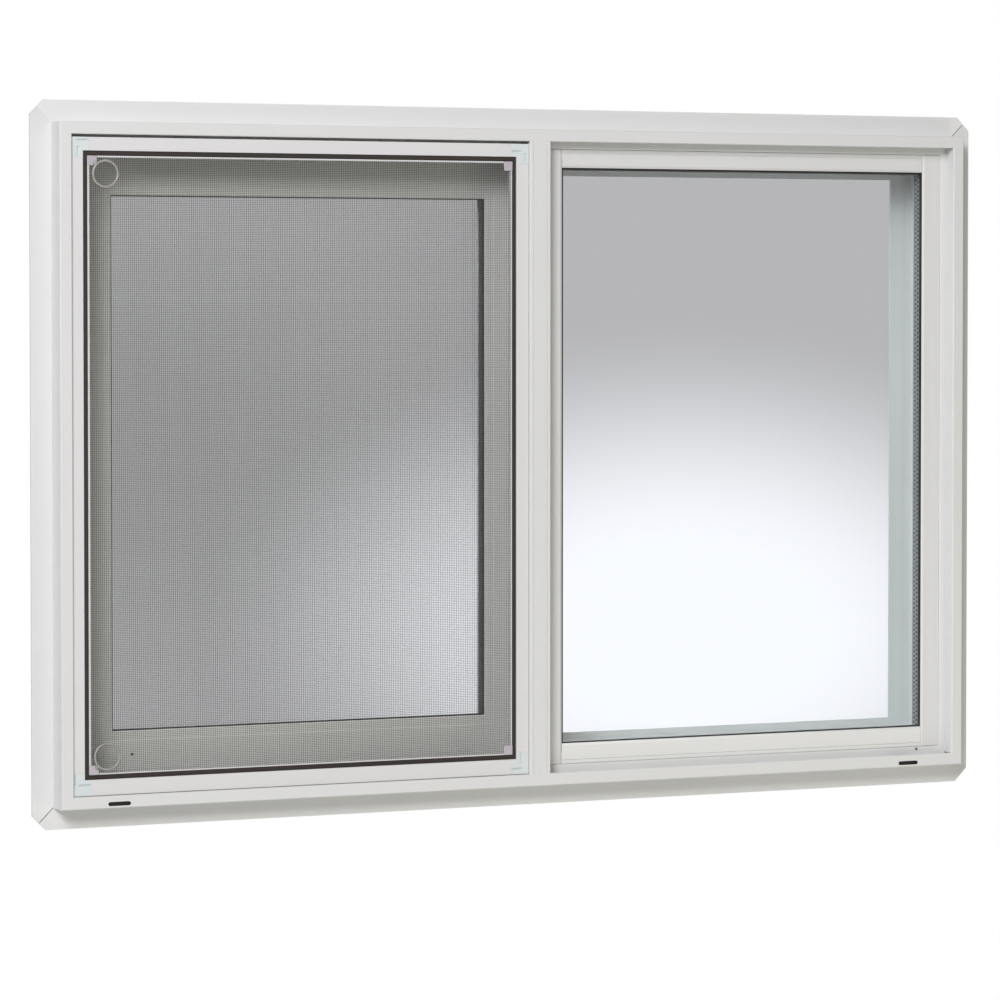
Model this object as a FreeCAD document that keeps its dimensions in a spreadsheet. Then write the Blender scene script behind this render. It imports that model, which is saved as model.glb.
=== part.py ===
import FreeCAD, Part
import math
import os
import re
import Sketcher
from FreeCAD import Rotation, Vector

doc = FreeCAD.newDocument("sliding_window")
sheet = doc.addObject("Spreadsheet::Sheet", "Dims")
NAMES = []


def dim(name, value):
    """Add one driving dimension in millimetres, or a sum of earlier ones."""
    NAMES.append(name)
    row = len(NAMES)
    sheet.set("A%d" % row, name)
    sheet.set("B%d" % row, str(value))
    sheet.setAlias("B%d" % row, name)


# frame members and nailing fin
dim("frame_width", 902)
dim("frame_height", 597)
dim("base_lift", 10)
dim("fin_width", 19.2)
dim("fin_thick", 2)
dim("fin_clip", 12.6)
dim("fin_setback", 24)
dim("seam_width", 0.8)
dim("seam_sink", 1.2)
dim("wall_thick", 2.5)
dim("edge_ease", 0.7)
dim("lip_width", 11)
dim("block_width", 17.2)
dim("web_thick", 2.5)
dim("web_width", 27)
dim("back_lip", 40)
dim("weep_length", 17.2)
dim("weep_height", 3.6)
dim("weep_low", 1.9)
dim("weep_inset_left", 44.2)
dim("weep_inset_right", 50.1)
dim("seat_gap", 0.3)
dim("overcut", 1)
# fixed lite
dim("mullion_offset", -3.2)
dim("mullion_width", 20.7)
dim("line_inset", 3.4)
dim("line_width", 0.6)
dim("bead_thick", 2.5)
dim("bead_nose", 2.4)
dim("bead_step", 3.6)
dim("bead_left", 18)
dim("bead_right", 19.8)
dim("bead_top", 16.8)
dim("bead_bottom", 19)
dim("gasket_thick", 1.2)
dim("gasket_show", 1)
dim("gasket_width", 9)
dim("pane_thick", 3)
dim("pane_edge", 1)
dim("fixed_gap", 12.7)
dim("spacer_inset", 10)
dim("spacer_width", 8)
dim("screw_radius", 1.3)
dim("screw_height", 0.6)
dim("screw_inset", 42)
dim("screw_rise", 15)
# insect screen
dim("screen_thick", 11)
dim("screen_tuck", 6)
dim("screen_gap", 2.4)
dim("screen_rest", 0.3)
dim("screen_play", 0.2)
dim("bar_flat", 17)
dim("bar_flat_top", 11.8)
dim("bar_flat_right", 12.1)
dim("bar_wall", 1.2)
dim("groove_width", 4.3)
dim("groove_depth", 3.5)
dim("inner_lip", 1.8)
dim("lip_back", 4.9)
dim("spline_sink", 1)
dim("spline_play", 0.2)
dim("mesh_sink", 0.1)
dim("mesh_thick", 0.4)
dim("key_size", 8.4)
dim("key_thick", 0.6)
dim("slot_width", 2)
dim("slot_sink", 1.2)
dim("slot_gap", 3.6)
dim("slot_far", 8)
dim("slot_end", 1.4)
dim("ring_radius", 11.3)
dim("ring_wire", 1.1)
dim("ring_inset", 15.6)
dim("foot_width", 3.4)
# sash
dim("sash_side", 8.3)
dim("sash_lap", 12.7)
dim("sash_clear", 5.8)
dim("sash_back_clear", 5.2)
dim("sash_thick", 22)
dim("rail_width", 37)
dim("rail_body", 22)
dim("rail_step", 9)
dim("step_sink", 0.8)
dim("face_leg", 3)
dim("sash_gap", 9.5)
dim("sash_gasket_thick", 1)
dim("sash_spacer_inset", 6.5)
dim("glide_length", 40)
dim("glide_inset", 20)
dim("glide_side", 6)
dim("dot_radius", 1.3)
dim("dot_height", 0.6)
dim("dot_inset", 18)
dim("dot_rise", 16)
# latch, room side
dim("latch_height", 70)
dim("latch_width", 15)
dim("latch_thick", 6)
dim("latch_clear", 5.5)
dim("lever_radius", 6.5)
dim("lever_thick", 5)
dim("lever_length", 30)
dim("lever_width", 9)
dim("keeper_height", 44)
dim("keeper_thick", 3)
# sums that several pieces share
dim("mid_z", "=base_lift + frame_height / 2")
dim("front_y", "=0 - fin_setback - fin_thick")
dim("half_width", "=frame_width / 2")
dim("half_height", "=frame_height / 2")
dim("pocket_x", "=half_width - block_width")
dim("pocket_z", "=half_height - block_width")
dim("screen_depth", "=wall_thick + seat_gap")
dim("screen_back", "=screen_depth + screen_thick")
dim("shelf_depth", "=screen_depth + mesh_sink + mesh_thick")
dim("block_depth", "=screen_back + screen_play")
dim("mullion_right", "=mullion_offset + mullion_width")
dim("bead_depth", "=block_depth")
dim("bead_back", "=bead_depth + bead_thick")
dim("pane_depth", "=bead_back + gasket_thick")
dim("cavity_depth", "=pane_depth + pane_thick")
dim("inner_depth", "=cavity_depth + fixed_gap")
dim("web_depth", "=inner_depth + pane_thick + seat_gap")
dim("web_back", "=web_depth + web_thick")
dim("screen_left", "=lip_width - screen_tuck - half_width")
dim("screen_right", "=mullion_offset - seat_gap")
dim("screen_top", "=half_height - lip_width - screen_gap")
dim("screen_bottom", "=half_height - lip_width - screen_rest")
dim("bar_flat_bottom", "=bar_flat_top + screen_gap - screen_rest")
dim("bar_left", "=screen_left + bar_flat + groove_width + inner_lip")
dim("bar_right", "=screen_right - bar_flat_right - groove_width - inner_lip")
dim("bar_top", "=screen_top - bar_flat_top - groove_width - inner_lip")
dim("sash_left", "=sash_side - pocket_x")
dim("sash_right", "=mullion_offset + sash_lap")
dim("sash_half", "=pocket_z - sash_side")
dim("sash_depth", "=web_back + sash_clear")
dim("sash_back", "=sash_depth + sash_thick")
dim("sash_pane", "=sash_depth + face_leg + sash_gasket_thick")
dim("sash_cavity", "=sash_pane + pane_thick")
dim("sash_inner", "=sash_cavity + sash_gap")
dim("stop_front", "=sash_inner + pane_thick + seat_gap")
dim("stop_width", "=rail_width - rail_body - seat_gap")
dim("frame_depth", "=sash_back + sash_back_clear + wall_thick")
dim("latch_left", "=back_lip + latch_clear - half_width")
dim("latch_mid", "=latch_left + latch_width / 2")
dim("cut_reach", "=2 * (back_lip + fin_width + rail_width)")
doc.recompute()

KEPT = []
CORNERS = {"tl": (-1, 1), "tr": (1, 1), "bl": (-1, -1), "br": (1, -1)}
DIAGONAL = math.sqrt(0.5)


def cells(text):
    """Turn bare dimension names into spreadsheet references."""
    return re.sub(r"[a-z_]+", lambda m: "Dims." + m.group(0) if m.group(0) in NAMES else m.group(0), text)


def bind(obj, prop, text):
    obj.setExpression(prop, cells(text))


def keep(obj, label):
    """Name a finished piece and list it for writing."""
    obj.Label = label
    KEPT.append(obj)
    return obj


def slab(name, x0, x1, d0, d1, z0, z1):
    """Box between two x values, two depths behind the front face and two heights about mid height."""
    obj = doc.addObject("Part::Box", name)
    bind(obj, "Length", "(%s) - (%s)" % (x1, x0))
    bind(obj, "Width", "(%s) - (%s)" % (d1, d0))
    bind(obj, "Height", "(%s) - (%s)" % (z1, z0))
    bind(obj, "Placement.Base.x", x0)
    bind(obj, "Placement.Base.y", "front_y + (%s)" % d0)
    bind(obj, "Placement.Base.z", "mid_z + (%s)" % z0)
    return obj


def disc(name, radius, height, x, depth, z, turn):
    """Cylinder along the depth axis, towards the outside (turn 90) or the room (turn -90)."""
    obj = doc.addObject("Part::Cylinder", name)
    obj.Placement.Rotation = Rotation(Vector(1, 0, 0), turn)
    bind(obj, "Radius", radius)
    bind(obj, "Height", height)
    bind(obj, "Placement.Base.x", x)
    bind(obj, "Placement.Base.y", "front_y + (%s)" % depth)
    bind(obj, "Placement.Base.z", "mid_z + (%s)" % z)
    return obj


def profile(name, loops, level):
    """Sketch of closed outlines; every corner is tied to the spreadsheet."""
    sketch = doc.addObject("Sketcher::SketchObject", name)
    for loop_no, loop in enumerate(loops):
        first = sketch.GeometryCount
        count = len(loop)
        turns = [2 * math.pi * i / count for i in range(count)]
        spots = [Vector(math.cos(turn), math.sin(turn), 0) for turn in turns]
        for i in range(count):
            sketch.addGeometry(Part.LineSegment(spots[i], spots[(i + 1) % count]), False)
        for i in range(count):
            after = first + (i + 1) % count
            sketch.addConstraint(Sketcher.Constraint("Coincident", first + i, 2, after, 1))
        for i, (inward, depth) in enumerate(loop):
            across, up = (depth, "0 - (%s)" % inward) if level else (inward, depth)
            for kind, spot, text in (("DistanceX", spots[i].x, across), ("DistanceY", spots[i].y, up)):
                number = sketch.addConstraint(Sketcher.Constraint(kind, first + i, 1, spot))
                tag = "%s_%d_%d" % (kind, loop_no, i)
                sketch.renameConstraint(number, tag)
                bind(sketch, "Constraints." + tag, text)
    return sketch


def extruded(name, loops, along, edge, start, length):
    """Extrude a section given as (distance in from the edge, depth), from a top edge or a left one."""
    level = along == "x"
    sketch = profile(name + "_section", loops, level)
    if level:
        sketch.Placement.Rotation = Rotation(Vector(1, 1, 1), 120)
    bind(sketch, "Placement.Base.x", start if level else edge)
    bind(sketch, "Placement.Base.y", "front_y")
    bind(sketch, "Placement.Base.z", "mid_z + (%s)" % (edge if level else start))
    obj = doc.addObject("Part::Extrusion", name)
    obj.Base = sketch
    obj.DirMode = "Normal"
    obj.Solid = True
    obj.FaceMakerClass = "Part::FaceMakerBullseye"
    bind(obj, "LengthFwd", length)
    return obj


def mirrored(name, source, normal, base_prop, base):
    """Mirror image of a piece in a plane."""
    obj = doc.addObject("Part::Mirroring", name)
    obj.Source = source
    obj.Normal = normal
    bind(obj, base_prop, base)
    return obj


def joined(name, shapes):
    obj = doc.addObject("Part::MultiFuse", name)
    obj.Shapes = shapes
    obj.Refine = True
    return obj


def less(name, base, tools):
    """Cut one or more tools from a base."""
    tool = tools[0]
    if len(tools) > 1:
        tool = doc.addObject("Part::MultiFuse", name + "_tools")
        tool.Shapes = tools
    obj = doc.addObject("Part::Cut", name)
    obj.Base = base
    obj.Tool = tool
    obj.Refine = True
    return obj


def gathered(name, shapes):
    """Several separate solids kept as one piece."""
    obj = doc.addObject("Part::Compound", name)
    obj.Links = shapes
    return obj


def ring(name, x0, x1, z0, z1, d0, d1, width):
    """Rectangular ring of one width."""
    outer = slab(name + "_outer", x0, x1, d0, d1, z0, z1)
    inner = slab(name + "_inner", "(%s) + (%s)" % (x0, width), "(%s) - (%s)" % (x1, width),
                 "(%s) - overcut" % d0, "(%s) + overcut" % d1, "(%s) + (%s)" % (z0, width),
                 "(%s) - (%s)" % (z1, width))
    return less(name, outer, [inner])


def turned(name, sx, sz, cx, cz, along, across, length, height):
    """Box turned 45 degrees about the depth axis at a corner, for mitres and clipped corners."""
    obj = doc.addObject("Part::Box", name)
    angle = -45 * sx * sz
    obj.Placement.Rotation = Rotation(Vector(0, 1, 0), angle)
    xdir = (DIAGONAL, -DIAGONAL) if angle > 0 else (DIAGONAL, DIAGONAL)
    zdir = (DIAGONAL, DIAGONAL) if angle > 0 else (-DIAGONAL, DIAGONAL)
    bind(obj, "Length", length)
    bind(obj, "Height", height)
    bind(obj, "Width", "frame_depth * 3")
    place = "%s + (%s) * %.8f + (%s) * %.8f"
    bind(obj, "Placement.Base.x", place % (cx, along, xdir[0], across, zdir[0]))
    bind(obj, "Placement.Base.y", "front_y - frame_depth")
    bind(obj, "Placement.Base.z", "mid_z + " + place % (cz, along, xdir[1], across, zdir[1]))
    return obj


def mitre(name, key, upright, left, right, half):
    """Cutter that takes away the neighbour's side of a mitred corner."""
    sx, sz = CORNERS[key]
    cx = "(%s)" % (left if sx < 0 else right)
    cz = "(%d) * (%s)" % (sz, half)
    # an upright lies below the cut at the top and above it at the bottom
    across = "0" if upright == (sz > 0) else "0 - cut_reach"
    return turned(name + "_" + key, sx, sz, cx, cz, "0 - cut_reach", across, "2 * cut_reach", "cut_reach")


def fin_clip_cut(name, key):
    """Cutter for the clipped corner of the nailing fin."""
    sx, sz = CORNERS[key]
    reach = "(2 * fin_width - fin_clip) * %.8f" % DIAGONAL
    start = reach if sx > 0 else "0 - cut_reach - " + reach
    return turned(name + "_clip_" + key, sx, sz, "(%d) * half_width" % sx, "(%d) * half_height" % sz,
                  start, "0 - cut_reach", "cut_reach", "2 * cut_reach")


def fin_seam(name, key):
    """Cutter for the shallow open seam between two fins at a corner."""
    sx, sz = CORNERS[key]
    start = "0" if sx > 0 else "0 - cut_reach"
    obj = turned(name + "_seam_" + key, sx, sz, "(%d) * half_width" % sx, "(%d) * half_height" % sz,
                 start, "0 - seam_width / 2", "cut_reach", "seam_width")
    bind(obj, "Width", "overcut + seam_sink")
    bind(obj, "Placement.Base.y", "front_y + fin_setback - overcut")
    return obj


# Frame: one hollow section all round, mitred at the corners. From the front: lip, screen channel, block with
# two chambers, web behind the glazing, sash track, back lip. The nailing fin stands out from its side. The jamb
# beside the fixed lite needs no screen channel, so a third chamber fills it.
def frame_section(channel):
    front = [("0", "edge_ease"), ("edge_ease", "0"), ("lip_width - edge_ease", "0"), ("lip_width", "edge_ease")]
    chambers = [
        [("wall_thick", "block_depth + wall_thick"), ("block_width - wall_thick", "block_depth + wall_thick"),
         ("block_width - wall_thick", "web_depth"), ("wall_thick", "web_depth")],
        [("wall_thick", "web_back"), ("block_width - wall_thick", "web_back"),
         ("block_width - wall_thick", "frame_depth - wall_thick"), ("wall_thick", "frame_depth - wall_thick")],
    ]
    if channel:
        front += [("lip_width", "wall_thick"), ("wall_thick", "wall_thick"), ("wall_thick", "block_depth")]
    else:
        front += [("lip_width", "block_depth")]
        chambers.append([("wall_thick", "wall_thick"), ("lip_width - wall_thick", "wall_thick"),
                         ("lip_width - wall_thick", "block_depth"), ("wall_thick", "block_depth")])
    back = [("block_width - edge_ease", "block_depth"), ("block_width", "block_depth + edge_ease"),
            ("block_width", "web_depth"), ("web_width", "web_depth"), ("web_width", "web_back"),
            ("block_width", "web_back"), ("block_width", "frame_depth - wall_thick"),
            ("back_lip", "frame_depth - wall_thick"), ("back_lip", "frame_depth - edge_ease"),
            ("back_lip - edge_ease", "frame_depth"), ("0", "frame_depth"), ("0", "fin_setback + fin_thick"),
            ("0 - fin_width", "fin_setback + fin_thick"), ("0 - fin_width", "fin_setback"), ("0", "fin_setback")]
    return [front + back] + chambers


def frame_member(name, upright, ends, channel=True):
    if upright:
        bar = extruded(name + "_bar", frame_section(channel), "z", "0 - half_width", "0 - half_height - fin_width",
                       "frame_height + 2 * fin_width")
    else:
        bar = extruded(name + "_bar", frame_section(channel), "x", "half_height", "0 - half_width - fin_width",
                       "frame_width + 2 * fin_width")
    tools = []
    for key in ends:
        tools.append(mitre(name + "_mitre", key, upright, "0 - half_width", "half_width", "half_height"))
        tools.append(fin_clip_cut(name, key))
        tools.append(fin_seam(name, key))
    return less(name + "_cut", bar, tools)


head = keep(frame_member("head", False, ("tl", "tr")), "head")
keep(frame_member("left_jamb", True, ("tl", "bl")), "left_jamb")
closed_jamb = frame_member("closed_jamb", True, ("tl", "bl"), False)
keep(mirrored("right_jamb_mirror", closed_jamb, Vector(1, 0, 0), "Base.x", "0"), "right_jamb")
sill_bar = mirrored("sill_mirror", head, Vector(0, 0, 1), "Base.z", "mid_z")
weeps = []
for side, sx in (("left", -1), ("right", 1)):
    middle = "(%d) * (half_width - weep_inset_%s - weep_length / 2)" % (sx, side)
    deep = "block_depth + wall_thick + overcut"
    low = "weep_low - half_height"
    weeps.append(slab("weep_" + side, middle + " - weep_length / 2", middle + " + weep_length / 2",
                      "0 - overcut", deep, low, low + " + weep_height"))
    for end, away in (("a", "- weep_length / 2"), ("b", "+ weep_length / 2")):
        weeps.append(disc("weep_%s_%s" % (side, end), "weep_height / 2", "overcut + " + deep, middle + away,
                          "0 - overcut", low + " + weep_height / 2", -90))
keep(less("sill_cut", sill_bar, weeps), "sill")

# Fixed mullion: hollow post with two fine lines; its nose runs on to the lips and a wing backs the glazing.
line_right = "mullion_width - line_inset - line_width"
line_deep = "line_width"
wing = "mullion_width + web_width - block_width"
MULLION_SECTION = [
    [("0", "edge_ease"), ("edge_ease", "0"), ("line_inset", "0"), ("line_inset", line_deep),
     ("line_inset + line_width", line_deep), ("line_inset + line_width", "0"), (line_right, "0"),
     (line_right, line_deep), (line_right + " + line_width", line_deep), (line_right + " + line_width", "0"),
     ("mullion_width - edge_ease", "0"), ("mullion_width", "edge_ease"), ("mullion_width", "web_depth"),
     (wing, "web_depth"), (wing, "web_back"), ("0", "web_back")],
    [("wall_thick", "wall_thick"), ("mullion_width - wall_thick", "wall_thick"),
     ("mullion_width - wall_thick", "web_back - wall_thick"), ("wall_thick", "web_back - wall_thick")],
]
nose_end = "half_height - lip_width - seat_gap"
post = extruded("mullion_post", MULLION_SECTION, "z", "mullion_offset", "0 - (%s)" % nose_end,
                "2 * (%s)" % nose_end)
trims = []
for tag, near, depth in (("block", "pocket_z - seat_gap", "block_depth - seat_gap"),
                         ("web", "half_height - web_width - seat_gap", "web_depth - seat_gap")):
    for end, z0, z1 in (("top", near, "half_height"), ("bottom", "0 - half_height", "0 - (%s)" % near)):
        trims.append(slab("mullion_%s_%s" % (tag, end), "mullion_offset - overcut",
                          "mullion_right + web_width", depth, "frame_depth", z0, z1))
keep(less("mullion_cut", post, trims), "mullion")

# Fixed lite: snap-in beads with a sloped nose, tape gasket, two panes on a spacer.
bead_x0 = "mullion_right + seat_gap"
bead_x1 = "pocket_x - seat_gap"
bead_z = "pocket_z - seat_gap"
sight_x0 = bead_x0 + " + bead_left"
sight_x1 = bead_x1 + " - bead_right"


def bead_section(width):
    return [[("0", "bead_depth + edge_ease"), ("bead_step", "bead_depth + edge_ease"),
             ("bead_step", "bead_depth"), (width + " - bead_nose", "bead_depth"),
             (width, "bead_depth + bead_thick / 2"), (width, "bead_back"), ("0", "bead_back")]]


tall = "2 * (%s)" % bead_z
wide = "(%s) - (%s)" % (sight_x1, sight_x0)
keep(extruded("left_bead", bead_section("bead_left"), "z", bead_x0, "0 - (%s)" % bead_z, tall), "bead_left")
right_bead = extruded("right_bead", bead_section("bead_right"), "z", "0 - (%s)" % bead_x1,
                      "0 - (%s)" % bead_z, tall)
keep(mirrored("right_bead_mirror", right_bead, Vector(1, 0, 0), "Base.x", "0"), "bead_right")
keep(extruded("top_bead", bead_section("bead_top"), "x", bead_z, sight_x0, wide), "bead_top")
bottom_bead = extruded("bottom_bead", bead_section("bead_bottom"), "x", bead_z, sight_x0, wide)
keep(mirrored("bottom_bead_mirror", bottom_bead, Vector(0, 0, 1), "Base.z", "mid_z"), "bead_bottom")
tuck = "(gasket_width - gasket_show)"
keep(ring("fixed_gasket_ring", sight_x0 + " - " + tuck, sight_x1 + " + " + tuck,
          "bead_bottom - (%s) - %s" % (bead_z, tuck), bead_z + " - bead_top + " + tuck, "bead_back",
          "pane_depth", "gasket_width"), "fixed_gasket")
pane = ["mullion_right + pane_edge", "pocket_x - pane_edge", "pane_edge - pocket_z", "pocket_z - pane_edge"]
keep(slab("fixed_outer", pane[0], pane[1], "pane_depth", "cavity_depth", pane[2], pane[3]),
     "fixed_outer_pane")
keep(ring("fixed_spacer_ring", pane[0] + " + spacer_inset", pane[1] + " - spacer_inset",
          pane[2] + " + spacer_inset", pane[3] + " - spacer_inset", "cavity_depth", "inner_depth",
          "spacer_width"), "fixed_spacer")
keep(slab("fixed_inner", pane[0], pane[1], "inner_depth", "inner_depth + pane_thick", pane[2], pane[3]),
     "fixed_inner_pane")
keep(disc("bead_screw_head", "screw_radius", "screw_height", "half_width - screw_inset", "block_depth",
          "screw_rise - half_height", 90), "bead_screw")


# Insect screen: roll-formed bars with a spline groove, moulded corners, cord, cloth, corner pads and two pull rings.
def bar_section(flat):
    groove_in = flat + " + groove_width"
    total = groove_in + " + inner_lip"
    groove_back = "screen_depth + groove_depth"
    lip_end = "screen_depth + lip_back"
    return [[("0", "screen_depth"), (flat, "screen_depth"), (flat, groove_back), (groove_in, groove_back),
             (groove_in, "shelf_depth"), (total, "shelf_depth"), (total, lip_end),
             (flat + " - bar_wall", lip_end), (flat + " - bar_wall", "screen_back"), ("0", "screen_back")],
            [("bar_wall", "screen_depth + bar_wall"), (flat + " - 2 * bar_wall", "screen_depth + bar_wall"),
             (flat + " - 2 * bar_wall", "screen_back - bar_wall"), ("bar_wall", "screen_back - bar_wall")]]


bar_long = "bar_right - (bar_left)"
keep(extruded("top_bar", bar_section("bar_flat_top"), "x", "screen_top", "bar_left", bar_long),
     "screen_bar_top")
bottom_bar = extruded("bottom_bar", bar_section("bar_flat_bottom"), "x", "screen_bottom", "bar_left", bar_long)
keep(mirrored("bottom_bar_mirror", bottom_bar, Vector(0, 0, 1), "Base.z", "mid_z"), "screen_bar_bottom")
keep(extruded("left_bar", bar_section("bar_flat"), "z", "screen_left", "0 - bar_top", "2 * bar_top"),
     "screen_bar_left")
right_bar = extruded("right_bar", bar_section("bar_flat_right"), "z", "0 - screen_right", "0 - bar_top",
                     "2 * bar_top")
keep(mirrored("right_bar_mirror", right_bar, Vector(1, 0, 0), "Base.x", "0"), "screen_bar_right")
groove = ring("groove_ring", "screen_left + bar_flat", "screen_right - bar_flat_right",
              "bar_flat_bottom - screen_bottom", "screen_top - bar_flat_top", "screen_depth - overcut",
              "screen_depth + groove_depth", "groove_width")
shelf = slab("mesh_shelf", "bar_left - inner_lip - overcut", "bar_right + inner_lip + overcut",
             "screen_depth - overcut", "shelf_depth", "0 - bar_top - inner_lip - overcut",
             "bar_top + inner_lip + overcut")
mesh_front = "screen_depth + mesh_sink"
key_front = mesh_front + " - key_thick"
corners = []
keys = []
for key, (sx, sz) in CORNERS.items():
    x0, x1 = ("screen_left", "bar_left") if sx < 0 else ("bar_right", "screen_right")
    z0, z1 = ("bar_top", "screen_top") if sz > 0 else ("0 - screen_bottom", "0 - bar_top")
    blank = slab("corner_blank_" + key, x0, x1, "screen_depth", "screen_back", z0, z1)
    # two narrow slots beside the groove; the same moulding is turned by a quarter from corner to corner
    level_gap, upright_gap = ("slot_far", "slot_gap") if sx * sz < 0 else ("slot_gap", "slot_far")
    if sx < 0:
        slot_x = "screen_left + bar_flat - slot_width - " + upright_gap
        level_ends = ["screen_left + bar_flat - slot_width - slot_gap", "bar_left - slot_end"]
        key_x = "bar_left - inner_lip"
    else:
        slot_x = "screen_right - bar_flat_right + " + upright_gap
        level_ends = ["bar_right + slot_end", "screen_right - bar_flat_right + slot_gap + slot_width"]
        key_x = "bar_right + inner_lip - key_size"
    if sz > 0:
        slot_z = "screen_top - bar_flat_top + " + level_gap
        upright_ends = ["bar_top + slot_end", "screen_top - bar_flat_top + slot_gap"]
        key_z = "bar_top + inner_lip - key_size"
    else:
        slot_z = "bar_flat_bottom - slot_width - screen_bottom - " + level_gap
        upright_ends = ["bar_flat_bottom - slot_gap - screen_bottom", "0 - bar_top - slot_end"]
        key_z = "0 - bar_top - inner_lip"
    slot_front = "screen_depth - overcut"
    slot_floor = "screen_depth + slot_sink"
    level_slot = slab("slot_level_" + key, level_ends[0], level_ends[1], slot_front, slot_floor, slot_z,
                      slot_z + " + slot_width")
    upright_slot = slab("slot_upright_" + key, slot_x, slot_x + " + slot_width", slot_front, slot_floor,
                        upright_ends[0], upright_ends[1])
    corners.append(less("corner_" + key, blank, [groove, shelf, level_slot, upright_slot]))
    keys.append(slab("key_" + key, key_x, key_x + " + key_size", key_front, mesh_front, key_z,
                     key_z + " + key_size"))
keep(gathered("corner_set", corners), "screen_corners")
keep(gathered("key_set", keys), "screen_corner_keys")
keep(ring("spline_ring", "screen_left + bar_flat + spline_play",
          "screen_right - bar_flat_right - spline_play", "bar_flat_bottom + spline_play - screen_bottom",
          "screen_top - bar_flat_top - spline_play", "screen_depth + spline_sink",
          "screen_depth + groove_depth - spline_play", "groove_width - 2 * spline_play"), "screen_spline")
keep(slab("mesh_sheet", "bar_left - inner_lip", "bar_right + inner_lip", "screen_depth + mesh_sink",
          "shelf_depth", "0 - bar_top - inner_lip", "bar_top + inner_lip"), "screen_mesh")
tabs = []
for tag, sz in (("upper", 1), ("lower", -1)):
    hoop = doc.addObject("Part::Torus", "hoop_" + tag)
    hoop.Placement.Rotation = Rotation(Vector(1, 0, 0), 90)
    bind(hoop, "Radius1", "ring_radius")
    bind(hoop, "Radius2", "ring_wire")
    bind(hoop, "Placement.Base.x", "bar_left - inner_lip + ring_inset")
    bind(hoop, "Placement.Base.y", "front_y + %s - ring_wire" % key_front)
    bind(hoop, "Placement.Base.z", "mid_z + (%d) * (bar_top + inner_lip - ring_inset)" % sz)
    # foot on the inner corner of the key
    foot_x = "bar_left - inner_lip + key_size - foot_width"
    foot_z = "bar_top + inner_lip - key_size" if sz > 0 else "key_size - bar_top - inner_lip - foot_width"
    foot = slab("foot_" + tag, foot_x, foot_x + " + foot_width", key_front + " - ring_wire", key_front, foot_z,
                foot_z + " + foot_width")
    tabs.append(joined("tab_" + tag, [hoop, foot]))
keep(gathered("tab_set", tabs), "screen_pull_tabs")

# Sash: one hollow section with a face leg, mitred at the corners, glazed from the room side.
SASH_SECTION = [
    [("0", "sash_depth"), ("rail_width - rail_step", "sash_depth"),
     ("rail_width - rail_step + step_sink", "sash_depth + step_sink"),
     ("rail_width - edge_ease", "sash_depth + step_sink"),
     ("rail_width", "sash_depth + step_sink + edge_ease"), ("rail_width", "sash_depth + face_leg"),
     ("rail_body", "sash_depth + face_leg"), ("rail_body", "sash_back"), ("0", "sash_back")],
    [("wall_thick", "sash_depth + wall_thick"), ("rail_body - wall_thick", "sash_depth + wall_thick"),
     ("rail_body - wall_thick", "sash_back - wall_thick"), ("wall_thick", "sash_back - wall_thick")],
]
sash_mid = "(sash_left + sash_right) / 2"
rail_bar = extruded("rail_bar", SASH_SECTION, "x", "sash_half", "sash_left", "sash_right - (sash_left)")
rail_cuts = [mitre("rail_mitre", key, False, "sash_left", "sash_right", "sash_half")
             for key in ("tl", "tr")]
top_rail = keep(less("top_rail_cut", rail_bar, rail_cuts), "sash_top_rail")
keep(mirrored("bottom_rail_mirror", top_rail, Vector(0, 0, 1), "Base.z", "mid_z"), "sash_bottom_rail")
stile_bar = extruded("stile_bar", SASH_SECTION, "z", "sash_left", "0 - sash_half", "2 * sash_half")
stile_cuts = [mitre("stile_mitre", key, True, "sash_left", "sash_right", "sash_half")
              for key in ("tl", "bl")]
left_stile = keep(less("left_stile_cut", stile_bar, stile_cuts), "sash_left_stile")
keep(mirrored("right_stile_mirror", left_stile, Vector(1, 0, 0), "Base.x", sash_mid), "sash_right_stile")
lite = ["sash_left + rail_body + seat_gap", "sash_right - rail_body - seat_gap",
        "rail_body + seat_gap - sash_half", "sash_half - rail_body - seat_gap"]
inset = "(stop_width - gasket_width + gasket_show)"
keep(ring("sash_gasket_ring", lite[0] + " + " + inset, lite[1] + " - " + inset, lite[2] + " + " + inset,
          lite[3] + " - " + inset, "sash_depth + face_leg", "sash_pane", "gasket_width"), "sash_gasket")
keep(slab("sash_outer", lite[0], lite[1], "sash_pane", "sash_cavity", lite[2], lite[3]), "sash_outer_pane")
keep(ring("sash_spacer_ring", lite[0] + " + sash_spacer_inset", lite[1] + " - sash_spacer_inset",
          lite[2] + " + sash_spacer_inset", lite[3] + " - sash_spacer_inset", "sash_cavity", "sash_inner",
          "spacer_width"), "sash_spacer")
keep(slab("sash_room", lite[0], lite[1], "sash_inner", "sash_inner + pane_thick", lite[2], lite[3]),
     "sash_inner_pane")
STOP_SECTION = [[("0", "stop_front"), ("stop_width", "stop_front"),
                 ("stop_width", "sash_back - bead_nose / 2"), ("stop_width - bead_nose", "sash_back"),
                 ("0", "sash_back")]]
stop_top = extruded("stop_top", STOP_SECTION, "x", lite[3], lite[0] + " + stop_width + seat_gap",
                    "(%s) - (%s) - 2 * stop_width - 2 * seat_gap" % (lite[1], lite[0]))
stop_left = extruded("stop_left", STOP_SECTION, "z", lite[0], lite[2], "(%s) - (%s)" % (lite[3], lite[2]))
stop_bottom = mirrored("stop_bottom", stop_top, Vector(0, 0, 1), "Base.z", "mid_z")
stop_right = mirrored("stop_right", stop_left, Vector(1, 0, 0), "Base.x", sash_mid)
keep(gathered("stop_set", [stop_top, stop_bottom, stop_left, stop_right]), "sash_inner_beads")
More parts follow.
